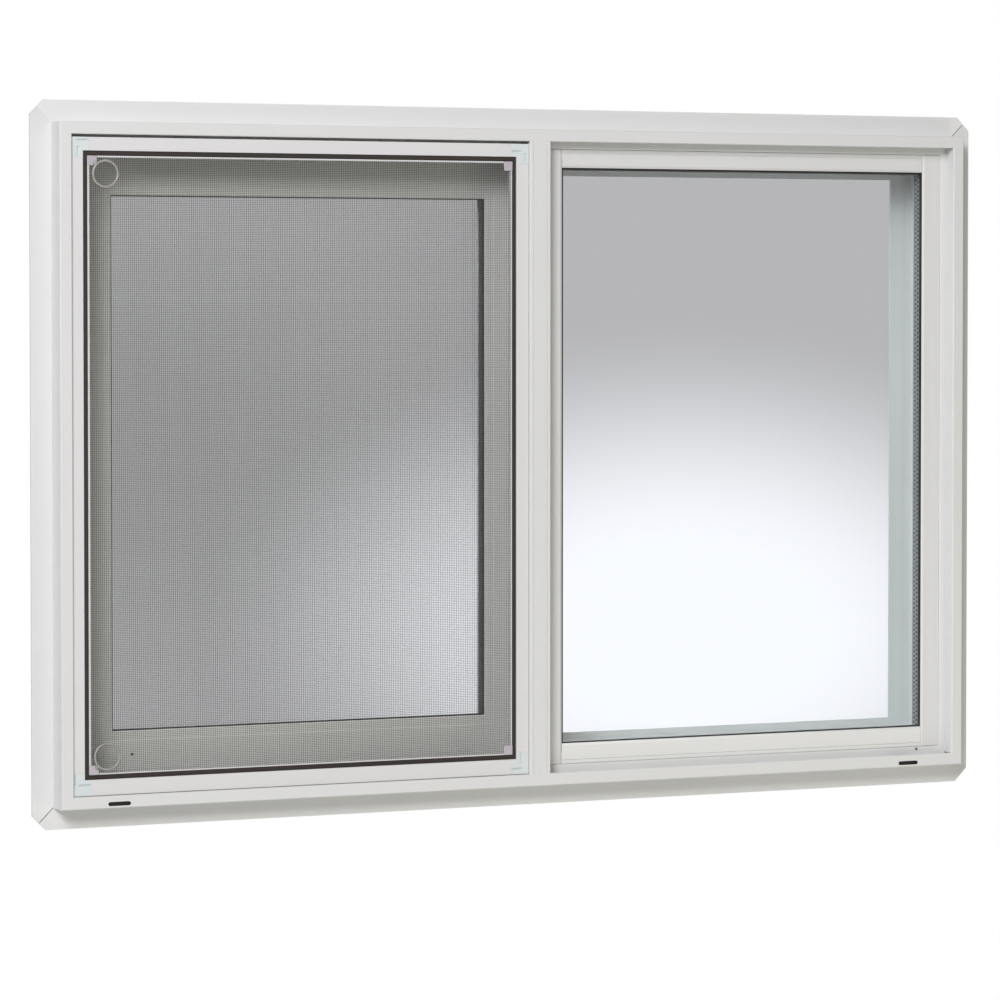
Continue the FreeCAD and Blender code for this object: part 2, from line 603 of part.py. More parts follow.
for label, low, high in (("sash_glides", "seat_gap - pocket_z", "0 - sash_half"),
                         ("sash_guides", "sash_half", "pocket_z - seat_gap")):
    pair = []
    for tag, start in (("left", "sash_left + glide_inset"),
                       ("right", "sash_right - glide_inset - glide_length")):
        pair.append(slab("%s_%s" % (label, tag), start, start + " + glide_length",
                         "sash_depth + glide_side", "sash_back - glide_side", low, high))
    keep(gathered(label + "_set", pair), label)
keep(disc("rail_screw_head", "dot_radius", "dot_height", "sash_left + rail_width + dot_inset", "sash_depth",
          "dot_rise - sash_half", 90), "sash_rail_screw")

# Latch on the left stile, room side: rounded plate, lever on a pivot, keeper on the jamb's back lip.
half_plate = "(latch_height - latch_width) / 2"
plate = [slab("latch_plate", "latch_left", "latch_left + latch_width", "sash_back",
              "sash_back + latch_thick", "0 - " + half_plate, half_plate)]
for tag, height in (("top", half_plate), ("bottom", "0 - " + half_plate)):
    plate.append(disc("latch_end_" + tag, "latch_width / 2", "latch_thick", "latch_mid", "sash_back",
                      height, -90))
keep(joined("latch_body", plate), "sash_latch")
lever_front = "sash_back + latch_thick"
pivot = disc("lever_pivot", "lever_radius", "lever_thick", "latch_mid", lever_front, "0", -90)
grip = slab("lever_grip", "latch_mid - lever_width / 2", "latch_mid + lever_width / 2", lever_front,
            lever_front + " + lever_thick", "0 - lever_length", "0")
tip = disc("lever_tip", "lever_width / 2", "lever_thick", "latch_mid", lever_front, "0 - lever_length", -90)
keep(joined("lever", [pivot, grip, tip]), "sash_latch_lever")
keep(slab("keeper_plate", "block_width - half_width", "back_lip - wall_thick - half_width", "frame_depth",
          "frame_depth + keeper_thick", "0 - keeper_height / 2", "keeper_height / 2"), "latch_keeper")

doc.recompute()
for item in doc.Objects:
    state = " ".join(item.State)
    if "Invalid" in state or "Error" in state:
        raise RuntimeError("%s did not rebuild: %s" % (item.Label, state))
for item in KEPT:
    if item.Shape.isNull() or not item.Shape.isValid() or not item.Shape.Solids:
        raise RuntimeError("bad shape: " + item.Label)
os.makedirs("parts", exist_ok=True)
for item in KEPT:
    item.Shape.exportStep("parts/%s.step" % item.Label)
print("%d pieces" % len(KEPT))
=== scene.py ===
"""White vinyl sliding window: finishes, woven insect mesh, glazing details, studio and camera."""
import math

import bmesh
import bpy
from mathutils import Matrix, Vector


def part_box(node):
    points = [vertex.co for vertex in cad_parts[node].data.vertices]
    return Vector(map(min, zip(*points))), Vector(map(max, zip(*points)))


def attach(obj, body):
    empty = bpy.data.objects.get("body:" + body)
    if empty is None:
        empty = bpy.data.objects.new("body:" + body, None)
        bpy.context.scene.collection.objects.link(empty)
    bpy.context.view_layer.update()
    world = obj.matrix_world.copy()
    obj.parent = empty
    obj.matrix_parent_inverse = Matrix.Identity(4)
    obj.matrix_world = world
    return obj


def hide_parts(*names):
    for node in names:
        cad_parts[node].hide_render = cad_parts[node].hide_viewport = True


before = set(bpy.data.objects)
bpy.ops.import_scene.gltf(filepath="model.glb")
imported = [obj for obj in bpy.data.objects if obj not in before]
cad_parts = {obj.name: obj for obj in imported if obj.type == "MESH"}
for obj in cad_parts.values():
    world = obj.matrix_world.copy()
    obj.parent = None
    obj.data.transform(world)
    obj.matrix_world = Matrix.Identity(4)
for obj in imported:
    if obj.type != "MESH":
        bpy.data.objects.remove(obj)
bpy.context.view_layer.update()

MM = 0.001
MERGE = 0.004 * MM
SCENE = bpy.context.scene
SCENE.view_settings.view_transform = "Standard"

# outline of the frame inside its fin
HALF_WIDTH = 451 * MM
HALF_HEIGHT = 298.5 * MM
MID_Z = 308.5 * MM
SILL_Z = MID_Z - HALF_HEIGHT
FRONT_Y = -26 * MM

# seams of the fin, weep slots and recess of the sill
SEAM_LENGTH = 16.5 * MM
SEAM_WIDTH = 0.8 * MM
SEAM_THICK = 0.4 * MM
SEAM_FRONT = -1.2 * MM
FILLED_LENGTH = 18.2 * MM
FILLED_WIDTH = 1.16 * MM
FILLED_THICK = 0.6 * MM
FILLED_FRONT = -1.97 * MM
WEEPS = (-398.2 * MM, 392.3 * MM)
WEEP_HALF = 11 * MM
WEEP_TOP = 6 * MM
WEEP_DEPTH = 18 * MM
LIP_SKIN = 0.4 * MM
# depth, rise and reach of the painted shade behind the weep slots
WEEP_SHADE_DEPTH = 2.2 * MM
WEEP_SHADE_RISE = 3.7 * MM
WEEP_SHADE_REACH = Vector((WEEP_HALF, 0.2 * MM, 2.1 * MM))
RECESS_DEPTH = 5 * MM
RECESS_HEIGHT = 40 * MM
MULLION_REACH = 1.1 * MM
GASKET_SWELL = 1.4 * MM

# glazing spacers; each row of perforations has its share of the depth and starts at its share of the pitch
SPACER_WIDTH = 8 * MM
PERFORATION_PITCH = 4.2 * MM
PERFORATION_RADIUS = 0.95 * MM
PERFORATION_SPREAD = 2.0
PERFORATION_LIFT = 0.03 * MM
PERFORATION_SIDES = 8
PERFORATION_ROWS = ((0.32, 0.25), (0.68, 0.75))

# insect mesh and pull rings
WIRE_WIDTH = 0.24 * MM
WIRE_THICK = 0.2 * MM
WIRE_INSET = 0.9 * MM
UPRIGHT_PITCH = 1.774 * MM
LEVEL_PITCH = 1.563 * MM
RING_RADIUS = 11.3 * MM
RING_WIRE = 1.1 * MM
RING_SIDES = 12
RING_STEPS = 64
FOOT_REACH = 10.6 * MM
FOOT_WIDTH = 3.4 * MM

# how far the edges of each piece are rounded
FRAME_EDGE = 0.25 * MM
SASH_EDGE = 0.3 * MM
MULLION_EDGE = 0.15 * MM
BEAD_EDGE = 0.3 * MM
BAR_EDGE = 0.3 * MM
CORNER_EDGE = 0.2 * MM
KEY_EDGE = 0.5 * MM
CORD_EDGE = 0.8 * MM
SPACER_EDGE = 0.3 * MM
KEEPER_EDGE = 0.8 * MM
LATCH_EDGE = 1.2 * MM
LEVER_EDGE = 1.0 * MM
NYLON_EDGE = 0.6 * MM
BEAD_SCREW_EDGE = 0.3 * MM
RAIL_SCREW_EDGE = 0.2 * MM
EDGE_SEGMENTS = 2
SHARP = math.radians(25)
FLAT = math.radians(0.5)

# how near a face has to be to count as lying on a mitre, or as facing one way
MITRE_SLACK = 0.02 * MM
SLANT_SLACK = 0.01
FACING = 0.9
SIDEWAYS = 0.5

# fine texture that the solid finishes share
LINE_SCALE = (900, 900, 900)
SPECK_SCALE = 1600.0
RELIEF = 0.05
CORD_RELIEF = 0.3
RELIEF_DEPTH = 0.4 * MM
DRIFT_SCALE = 4.0
GLOSS_SCALE = 14.0

# camera of the photo, with its focal length and principal row in pixels
YAW = math.radians(24.662)
TILT = math.radians(2.001)
DISTANCE = 3.9022
AIM = Vector((-33.48 * MM, FRONT_Y, 319.04 * MM))
FOCAL = 4314.6
PRINCIPAL_Y = 447.5
IMAGE = 1000
SENSOR = 36.0
FAR_LIMIT = 50
AHEAD = Vector((math.sin(YAW) * math.cos(TILT), math.cos(YAW) * math.cos(TILT), -math.sin(TILT)))
RIGHT = Vector((math.cos(YAW), -math.sin(YAW), 0))
ABOVE = RIGHT.cross(AHEAD)
EYE = AIM - AHEAD * DISTANCE

# studio: the backdrop's pool of light and dim patch have their middles and reaches in pixels of the photo
FLOOR_Z = -1.0
FLOOR_RADIUS = 2.6
FLOOR_SIDES = 96
AMBIENT = (0.28, 0.278, 0.255, 1)
WHITE = (1, 1, 1, 1)
BACKDROP_DIM = (0.40, 0.40, 0.40, 1)
BACKDROP_GREY = (0.482, 0.474, 0.49, 1)
POOL_LIGHT = (1.06, 1.065, 1.13, 1)
POOL_PIXEL = (685, 632)
POOL_NEAR = 120
POOL_FAR = 500
DIM_PIXEL = (110, 440)
DIM_NEAR = 60
DIM_FAR = 420
SQUASH = Vector((1, 1, 1.57))
FIRST_BOUNCE = 0.5
LAMP_AIM = Vector((0, 0, 0.31))


# node helpers
def start_material(name):
    """Begin a node material and hand back its tree and shader."""
    finish = bpy.data.materials.new(name)
    finish.use_nodes = True
    return finish, finish.node_tree, finish.node_tree.nodes["Principled BSDF"]


def place(tree, kind, **settings):
    """Add a node; sockets are named with underscores for spaces, other names are node settings."""
    node = tree.nodes.new(kind)
    for name, value in settings.items():
        socket = node.inputs.get(name.replace("_", " "))
        if socket is None:
            setattr(node, name, value)
        else:
            socket.default_value = value
    return node


def start_group(name, inputs, outputs):
    """Begin a shader node group with named sockets."""
    group = bpy.data.node_groups.new(name, "ShaderNodeTree")
    for label, kind in inputs:
        group.interface.new_socket(label, in_out="INPUT", socket_type=kind)
    for label, kind in outputs:
        group.interface.new_socket(label, in_out="OUTPUT", socket_type=kind)
    return group, group.nodes.new("NodeGroupInput"), group.nodes.new("NodeGroupOutput")


def use_group(tree, group, **settings):
    """Place a node group in a material with its own values."""
    node = tree.nodes.new("ShaderNodeGroup")
    node.node_tree = group
    for name, value in settings.items():
        node.inputs[name.replace("_", " ")].default_value = value
    return node


def tone_group():
    """Slow drift between two tones."""
    group, given, out = start_group(
        "Moulded Tone",
        [("Tone", "NodeSocketColor"), ("Drift", "NodeSocketColor"), ("Size", "NodeSocketFloat")],
        [("Color", "NodeSocketColor")])
    where = place(group, "ShaderNodeTexCoord")
    slow = place(group, "ShaderNodeTexNoise", Detail=3.0, Roughness=0.55)
    ramp = place(group, "ShaderNodeMapRange", From_Min=0.3, From_Max=0.7)
    blend = place(group, "ShaderNodeMix", data_type="RGBA")
    group.links.new(where.outputs["Object"], slow.inputs["Vector"])
    group.links.new(given.outputs["Size"], slow.inputs["Scale"])
    group.links.new(slow.outputs["Fac"], ramp.inputs["Value"])
    group.links.new(ramp.outputs["Result"], blend.inputs["Factor"])
    group.links.new(given.outputs["Tone"], blend.inputs["A"])
    group.links.new(given.outputs["Drift"], blend.inputs["B"])
    group.links.new(blend.outputs["Result"], out.inputs["Color"])
    return group


def sheen_group():
    """Roughness that wanders a little between two limits."""
    group, given, out = start_group(
        "Wandering Gloss",
        [("Glossy", "NodeSocketFloat"), ("Dull", "NodeSocketFloat"), ("Size", "NodeSocketFloat")],
        [("Roughness", "NodeSocketFloat")])
    where = place(group, "ShaderNodeTexCoord")
    patches = place(group, "ShaderNodeTexNoise", Detail=4.0)
    spread = place(group, "ShaderNodeMapRange", From_Min=0.3, From_Max=0.7)
    group.links.new(where.outputs["Object"], patches.inputs["Vector"])
    group.links.new(given.outputs["Size"], patches.inputs["Scale"])
    group.links.new(patches.outputs["Fac"], spread.inputs["Value"])
    group.links.new(given.outputs["Glossy"], spread.inputs["To Min"])
    group.links.new(given.outputs["Dull"], spread.inputs["To Max"])
    group.links.new(spread.outputs["Result"], out.inputs["Roughness"])
    return group


def drawn_group():
    """Fine relief of a drawn or moulded face: unevenness scaled by Stretch, with specks over it."""
    group, given, out = start_group(
        "Die Lines",
        [("Stretch", "NodeSocketVector"), ("Grain", "NodeSocketFloat")],
        [("Height", "NodeSocketFloat")])
    where = place(group, "ShaderNodeTexCoord")
    pull = place(group, "ShaderNodeVectorMath", operation="MULTIPLY")
    lines = place(group, "ShaderNodeTexNoise", Scale=1.0, Detail=2.0)
    speck = place(group, "ShaderNodeTexNoise", Detail=2.0)
    both = place(group, "ShaderNodeMath", operation="ADD")
    group.links.new(where.outputs["Object"], pull.inputs[0])
    group.links.new(given.outputs["Stretch"], pull.inputs[1])
    group.links.new(pull.outputs["Vector"], lines.inputs["Vector"])
    group.links.new(where.outputs["Object"], speck.inputs["Vector"])
    group.links.new(given.outputs["Grain"], speck.inputs["Scale"])
    group.links.new(lines.outputs["Fac"], both.inputs[0])
    group.links.new(speck.outputs["Fac"], both.inputs[1])
    group.links.new(both.outputs["Value"], out.inputs["Height"])
    return group


TONE = tone_group()
SHEEN = sheen_group()
DRAWN = drawn_group()


# finishes
def finish_with(name, tone, drift, glossy, dull, relief=RELIEF):
    """A solid finish: drifting tone, wandering gloss and fine relief."""
    finish, tree, shader = start_material(name)
    hue = use_group(tree, TONE, Tone=(*tone, 1), Drift=(*drift, 1), Size=DRIFT_SCALE)
    gloss = use_group(tree, SHEEN, Glossy=glossy, Dull=dull, Size=GLOSS_SCALE)
    lines = use_group(tree, DRAWN, Stretch=LINE_SCALE, Grain=SPECK_SCALE)
    bump = place(tree, "ShaderNodeBump", Strength=relief, Distance=RELIEF_DEPTH)
    tree.links.new(hue.outputs["Color"], shader.inputs["Base Color"])
    tree.links.new(gloss.outputs["Roughness"], shader.inputs["Roughness"])
    tree.links.new(lines.outputs["Height"], bump.inputs["Height"])
    tree.links.new(bump.outputs["Normal"], shader.inputs["Normal"])
    return finish


def clear_glass():
    """Float glass, faintly green, that lets the lamps through to what is behind it."""
    finish, tree, shader = start_material("float_glass")
    shader.inputs["Base Color"].default_value = (0.985, 0.995, 0.99, 1)
    shader.inputs["Roughness"].default_value = 0.0
    shader.inputs["IOR"].default_value = 1.5
    shader.inputs["Transmission Weight"].default_value = 1.0
    path = place(tree, "ShaderNodeLightPath")
    clear = place(tree, "ShaderNodeBsdfTransparent", Color=(0.75, 0.777, 0.77, 1))
    either = place(tree, "ShaderNodeMixShader")
    tree.links.new(path.outputs["Is Shadow Ray"], either.inputs["Fac"])
    tree.links.new(shader.outputs["BSDF"], either.inputs[1])
    tree.links.new(clear.outputs["BSDF"], either.inputs[2])
    tree.links.new(either.outputs["Shader"], tree.nodes["Material Output"].inputs["Surface"])
    return finish


def milky_plastic():
    """The translucent plastic of the pull rings."""
    finish = finish_with("tab_plastic", (0.31, 0.31, 0.29), (0.36, 0.36, 0.335), 0.25, 0.35)
    shader = finish.node_tree.nodes["Principled BSDF"]
    shader.inputs["Subsurface Weight"].default_value = 0.4
    shader.inputs["Subsurface Scale"].default_value = 2 * MM
    return finish


VINYL = finish_with("white_vinyl", (0.71, 0.71, 0.708), (0.725, 0.725, 0.728), 0.34, 0.44)
# painted light: a lighter, warmer copy of the white vinyl for the sash, which sits in shade behind the mesh
SASH_VINYL_PAINTED_LIGHT = finish_with("sash_vinyl", (0.81, 0.81, 0.775), (0.825, 0.825, 0.79), 0.34, 0.44)
# painted light: a lighter copy of the white vinyl for the fins and the filled fin seams
FIN_VINYL_PAINTED_LIGHT = finish_with("fin_vinyl", (0.725, 0.725, 0.722), (0.74, 0.74, 0.742), 0.36, 0.46)
# painted light: a lighter copy of the white vinyl for the top fin, the sill's recess and the bottom bead
VINYL_PAINTED_LIGHT = finish_with("pale_vinyl", (0.785, 0.785, 0.782), (0.80, 0.80, 0.80), 0.36, 0.46)
# painted shade: a slightly darker copy of the white vinyl for the beads
BEAD_VINYL_PAINTED_SHADE = finish_with("bead_vinyl", (0.70, 0.70, 0.695), (0.715, 0.715, 0.712), 0.36, 0.46)
BAR_PAINT = finish_with("screen_bar_paint", (0.705, 0.697, 0.702), (0.72, 0.712, 0.718), 0.30, 0.40)
CORNER_PLASTIC = finish_with("corner_plastic", (0.66, 0.71, 0.72), (0.69, 0.73, 0.735), 0.32, 0.42)
KEY_PLASTIC = finish_with("key_plastic", (0.50, 0.465, 0.51), (0.45, 0.42, 0.45), 0.45, 0.6)
SPLINE_CORD = finish_with("spline_cord", (0.022, 0.016, 0.012), (0.034, 0.026, 0.02), 0.5, 0.7, CORD_RELIEF)
GASKET_RUBBER = finish_with("gasket_rubber", (0.010, 0.010, 0.009), (0.016, 0.016, 0.015), 0.5, 0.7)
MESH_WIRE = finish_with("mesh_wire", (0.060, 0.060, 0.058), (0.075, 0.075, 0.072), 0.5, 0.65)
LATCH_PLASTIC = finish_with("latch_plastic", (0.72, 0.72, 0.71), (0.74, 0.74, 0.73), 0.28, 0.36)
GLIDE_NYLON = finish_with("glide_nylon", (0.36, 0.36, 0.34), (0.40, 0.40, 0.38), 0.45, 0.55)
PERFORATION_DARK = finish_with("perforation_dark", (0.035, 0.04, 0.04), (0.05, 0.055, 0.055), 0.6, 0.8)
SPACER_METAL = finish_with("spacer_metal", (0.20, 0.20, 0.205), (0.235, 0.235, 0.24), 0.3, 0.42)
# painted shade: a much darker copy of the spacer metal for the sash's spacer, which lies in shade
SASH_SPACER_PAINTED_SHADE = finish_with("sash_spacer_metal", (0.025, 0.025, 0.03), (0.04, 0.04, 0.045), 0.35, 0.5)
SCREW_STEEL = finish_with("screw_steel", (0.10, 0.10, 0.098), (0.14, 0.14, 0.135), 0.35, 0.5)
# painted shade: a dark finish for the open fin seams and the sides inside the weep slots
SEAM_PAINTED_SHADE = finish_with("seam_dark", (0.06, 0.055, 0.05), (0.08, 0.075, 0.07), 0.6, 0.8)
FLOOR_PAPER = finish_with("floor_paper", (0.80, 0.80, 0.80), (0.82, 0.82, 0.82), 0.8, 0.9)
TAB_PLASTIC = milky_plastic()
GLASS = clear_glass()


# mesh helpers
def merged_copy(node):
    """A bmesh with a copy of a CAD node's mesh, its loose triangles joined."""
    bm = bmesh.new()
    bm.from_mesh(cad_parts[node].data)
    bmesh.ops.remove_doubles(bm, verts=bm.verts, dist=MERGE)
    return bm


def piece(bm, name, finish, body, slot, *nodes):
    """Turn a bmesh into a finished piece that rides on a body and stands for its CAD nodes."""
    mesh = bpy.data.meshes.new(name)
    bm.to_mesh(mesh)
    bm.free()
    mesh.materials.append(finish)
    made = bpy.data.objects.new(name, mesh)
    SCENE.collection.objects.link(made)
    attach(made, body)
    if nodes:
        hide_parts(*nodes)
    return made


def ease(bm, width):
    """Join flat triangles into whole faces and round every sharp edge."""
    bmesh.ops.dissolve_limit(bm, angle_limit=FLAT, verts=bm.verts, edges=bm.edges)
    corners = [e for e in bm.edges if len(e.link_faces) == 2 and e.calc_face_angle() > SHARP]
    bmesh.ops.bevel(bm, geom=corners, offset=width, offset_type="OFFSET", affect="EDGES",
                    segments=EDGE_SEGMENTS, profile=0.5, material=-1, clamp_overlap=True)


def box_between(bm, low, high):
    """Add a box between two corners."""
    stretch = Matrix.Diagonal((*(high - low), 1))
    bmesh.ops.create_cube(bm, size=1.0, matrix=Matrix.Translation((low + high) / 2) @ stretch)


# frame and sash, each welded at its mitres
def weld_mitres(bm, half_wide, half_high, mid_x):
    """Remove the cut faces inside four mitred corners and join the members into one ring."""
    cuts = []
    for face in bm.faces:
        uneven = abs(abs(face.normal.x) - abs(face.normal.z))
        slanted = uneven < SLANT_SLACK and abs(face.normal.y) < SLANT_SLACK
        at = face.calc_center_median()
        off = half_wide - abs(at.x - mid_x) - half_high + abs(at.z - MID_Z)
        if slanted and abs(off) < MITRE_SLACK:
            cuts.append(face)
    bmesh.ops.delete(bm, geom=cuts, context="FACES_ONLY")
    bmesh.ops.remove_doubles(bm, verts=bm.verts, dist=MERGE)


def welded(name, finish, members, half_wide, half_high, mid_x, width, body):
    """Four mitred members as one ring with eased edges."""
    bm = bmesh.new()
    for node in members:
        bm.from_mesh(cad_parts[node].data)
    weld_mitres(bm, half_wide, half_high, mid_x)
    ease(bm, width)
    return piece(bm, name, finish, body, "vinyl", *members)


def welded_frame():
    """Head, sill and jambs, with lighter copies of the vinyl on the fins and in the sill's recess as painted
    light, and painted shade in the weeps.
    """
    made = welded("welded_frame", VINYL, ("head", "sill", "left_jamb", "right_jamb"),
                  HALF_WIDTH, HALF_HEIGHT, 0.0, FRAME_EDGE, "frame")
    slots = made.data.materials
    for finish in (FIN_VINYL_PAINTED_LIGHT, SEAM_PAINTED_SHADE, VINYL_PAINTED_LIGHT):
        slots.append(finish)
    for face in made.data.polygons:
        x, y, z = face.center
        on_top_fin = z - MID_Z > HALF_HEIGHT and abs(x) < HALF_WIDTH
        on_fin = abs(x) > HALF_WIDTH or abs(z - MID_Z) > HALF_HEIGHT
        set_back = FRONT_Y + RECESS_DEPTH < y < 0 and face.normal.y < -FACING
        in_recess = set_back and SILL_Z < z < SILL_Z + RECESS_HEIGHT
        near_weep = min(abs(x - middle) for middle in WEEPS) < WEEP_HALF
        in_lip = SILL_Z < z < SILL_Z + WEEP_TOP and FRONT_Y + LIP_SKIN < y < FRONT_Y + WEEP_DEPTH
        # painted shade on the sides inside the weep slots; painted light on the top fin, in the sill's
        # recess and on the other fins
        if near_weep and in_lip and abs(face.normal.y) < SIDEWAYS:
            face.material_index = slots.find("seam_dark")
        elif on_top_fin or in_recess:
            face.material_index = slots.find("pale_vinyl")
        elif on_fin:
            face.material_index = slots.find("fin_vinyl")


def welded_sash():
    """Rails and stiles of the sash."""
    low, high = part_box("sash_bottom_rail")
    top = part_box("sash_top_rail")[1]
    members = ("sash_top_rail", "sash_bottom_rail", "sash_left_stile", "sash_right_stile")
    # the sash takes the lighter copy of the white vinyl: painted light
    welded("welded_sash", SASH_VINYL_PAINTED_LIGHT, members, (high.x - low.x) / 2, (top.z - low.z) / 2,
           (low.x + high.x) / 2, SASH_EDGE, "sash")


welded_frame()
welded_sash()


# mullion, fin seams and weep slots
def mullion():
    """The post, run on to the lips of head and sill so that it meets them without a line."""
    low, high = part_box("mullion")
    bm = merged_copy("mullion")
    for v in bm.verts:
        if v.co.z > high.z - MERGE:
            v.co.z += MULLION_REACH
        if v.co.z < low.z + MERGE:
            v.co.z -= MULLION_REACH
    ease(bm, MULLION_EDGE)
    piece(bm, "eased_mullion", VINYL, "frame", "vinyl", "mullion")


def fin_strips(name, finish, slot, slope, length, width, front, thick):
    """Strips along the two fin seams that lie on one diagonal of the frame."""
    bm = bmesh.new()
    turn = Matrix.Rotation(math.radians(-45 * slope), 4, "Y")
    size = Matrix.Diagonal((length, thick, width, 1))
    for side in (-1, 1):
        corner = Vector((side * HALF_WIDTH, front + thick / 2, MID_Z + slope * side * HALF_HEIGHT))
        middle = corner + Vector((side, 0, slope * side)).normalized() * length / 2
        bmesh.ops.create_cube(bm, size=1.0, matrix=Matrix.Translation(middle) @ turn @ size)
    piece(bm, name, finish, "frame", slot)


def painted_weep_shade():
    """Painted shade: dark boxes behind the two weep slots, darkening what shows through them."""
    bm = bmesh.new()
    for x in WEEPS:
        middle = Vector((x, FRONT_Y + WEEP_SHADE_DEPTH, SILL_Z + WEEP_SHADE_RISE))
        box_between(bm, middle - WEEP_SHADE_REACH, middle + WEEP_SHADE_REACH)
    piece(bm, "painted_weep_shade", GASKET_RUBBER, "frame", "gasket")


mullion()
# painted shade: dark strips in the grooves of two fin seams; the other two grooves are filled with the fin's
# white
fin_strips("open_seams", SEAM_PAINTED_SHADE, "gasket", 1, SEAM_LENGTH, SEAM_WIDTH, SEAM_FRONT, SEAM_THICK)
fin_strips("filled_seams", FIN_VINYL_PAINTED_LIGHT, "vinyl", -1, FILLED_LENGTH, FILLED_WIDTH, FILLED_FRONT, FILLED_THICK)
painted_weep_shade()

# pieces that keep the CAD shape with eased edges
EASED = (
    # the beads take the darker copy of the white vinyl, painted shade; the bottom bead takes the lighter
    # copy, painted light
    ("bead_left", BEAD_VINYL_PAINTED_SHADE, "frame", "vinyl", BEAD_EDGE),
    ("bead_right", BEAD_VINYL_PAINTED_SHADE, "frame", "vinyl", BEAD_EDGE),
    ("bead_top", BEAD_VINYL_PAINTED_SHADE, "frame", "vinyl", BEAD_EDGE),
    ("bead_bottom", VINYL_PAINTED_LIGHT, "frame", "vinyl", BEAD_EDGE),
    ("screen_bar_top", BAR_PAINT, "frame", "screen_bar", BAR_EDGE),
    ("screen_bar_bottom", BAR_PAINT, "frame", "screen_bar", BAR_EDGE),
    ("screen_bar_left", BAR_PAINT, "frame", "screen_bar", BAR_EDGE),
    ("screen_bar_right", BAR_PAINT, "frame", "screen_bar", BAR_EDGE),
    ("screen_corners", CORNER_PLASTIC, "frame", "corner", CORNER_EDGE),
    ("screen_corner_keys", KEY_PLASTIC, "frame", "key", KEY_EDGE),
    ("screen_spline", SPLINE_CORD, "frame", "spline", CORD_EDGE),
    ("fixed_spacer", SPACER_METAL, "frame", "spacer", SPACER_EDGE),
    # the sash's spacer takes the darker copy of the spacer metal: painted shade
    ("sash_spacer", SASH_SPACER_PAINTED_SHADE, "sash", "spacer", SPACER_EDGE),
    ("sash_inner_beads", BEAD_VINYL_PAINTED_SHADE, "sash", "vinyl", BEAD_EDGE),
    ("latch_keeper", LATCH_PLASTIC, "frame", "latch", KEEPER_EDGE),
    ("sash_latch", LATCH_PLASTIC, "sash", "latch", LATCH_EDGE),
    ("sash_latch_lever", LATCH_PLASTIC, "sash", "latch", LEVER_EDGE),
    ("sash_glides", GLIDE_NYLON, "sash", "glide", NYLON_EDGE),
    ("sash_guides", GLIDE_NYLON, "sash", "glide", NYLON_EDGE),
    ("bead_screw", SCREW_STEEL, "frame", "screw", BEAD_SCREW_EDGE),
    ("sash_rail_screw", SCREW_STEEL, "sash", "screw", RAIL_SCREW_EDGE),
)
for node, finish, body, slot, width in EASED:
    shape = merged_copy(node)
    ease(shape, width)
    piece(shape, "eased_" + node, finish, body, slot, node)

# nodes that keep their CAD mesh and take only a finish
FINISHED = (
    ("fixed_outer_pane", GLASS),
    ("fixed_inner_pane", GLASS),
    ("sash_outer_pane", GLASS),
    ("sash_inner_pane", GLASS),
    ("sash_gasket", GASKET_RUBBER),
)
for node, finish in FINISHED:
    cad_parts[node].data.materials.clear()
    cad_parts[node].data.materials.append(finish)


# gasket, insect mesh, perforations and pull rings
def proud_gasket():
    """The glazing gasket of the fixed lite, swelled a little up the inner side of its beads."""
    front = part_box("fixed_gasket")[0].y
    bm = merged_copy("fixed_gasket")
    for v in bm.verts:
        if v.co.y < front + MERGE:
            v.co.y -= GASKET_SWELL
    piece(bm, "proud_gasket", GASKET_RUBBER, "frame", "gasket", "fixed_gasket")


def woven_mesh():
    """Upright wires in front and level wires behind them, touching where they cross."""
    low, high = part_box("screen_mesh")
    bm = bmesh.new()
    low += Vector((WIRE_INSET, 0, WIRE_INSET))
    high -= Vector((WIRE_INSET, 0, WIRE_INSET))
    half = WIRE_WIDTH / 2
    layer = low.y + WIRE_THICK
    for i in range(int((high.x - low.x) / UPRIGHT_PITCH)):
        x = low.x + (i + 0.5) * UPRIGHT_PITCH
        box_between(bm, Vector((x - half, low.y, low.z)), Vector((x + half, layer, high.z)))
    for i in range(int((high.z - low.z) / LEVEL_PITCH)):
        z = low.z + (i + 0.5) * LEVEL_PITCH
        box_between(bm, Vector((low.x, layer, z - half)), Vector((high.x, high.y, z + half)))
    piece(bm, "woven_mesh", MESH_WIRE, "frame", "mesh", "screen_mesh")


def punch(bm, at, turn):
    """Add one small hole, as a disc."""
    bmesh.ops.create_circle(bm, cap_ends=True, segments=PERFORATION_SIDES, radius=PERFORATION_RADIUS,
                            matrix=Matrix.Translation(at) @ turn)


def perforations(node, name, body):
    """Two staggered rows of small dark holes on the four faces that look into the airspace."""
    low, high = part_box(node)
    inset = SPACER_WIDTH + PERFORATION_LIFT
    length_x = high.x - low.x - 2 * SPACER_WIDTH
    length_z = high.z - low.z - 2 * SPACER_WIDTH
    bm = bmesh.new()
    spread = Matrix.Diagonal((1, PERFORATION_SPREAD, 1, 1))
    face_right = spread @ Matrix.Rotation(math.radians(90), 4, "Y")
    face_left = spread @ Matrix.Rotation(math.radians(-90), 4, "Y")
    face_up = spread
    face_down = spread @ Matrix.Rotation(math.radians(180), 4, "X")
    for depth_share, pitch_share in PERFORATION_ROWS:
        y = low.y + (high.y - low.y) * depth_share
        start = PERFORATION_PITCH * pitch_share
        for i in range(int((length_z - start) / PERFORATION_PITCH)):
            z = low.z + SPACER_WIDTH + start + i * PERFORATION_PITCH
            punch(bm, (low.x + inset, y, z), face_right)
            punch(bm, (high.x - inset, y, z), face_left)
        for i in range(int((length_x - start) / PERFORATION_PITCH)):
            x = low.x + SPACER_WIDTH + start + i * PERFORATION_PITCH
            punch(bm, (x, y, low.z + inset), face_up)
            punch(bm, (x, y, high.z - inset), face_down)
    piece(bm, name, PERFORATION_DARK, body, "spacer")


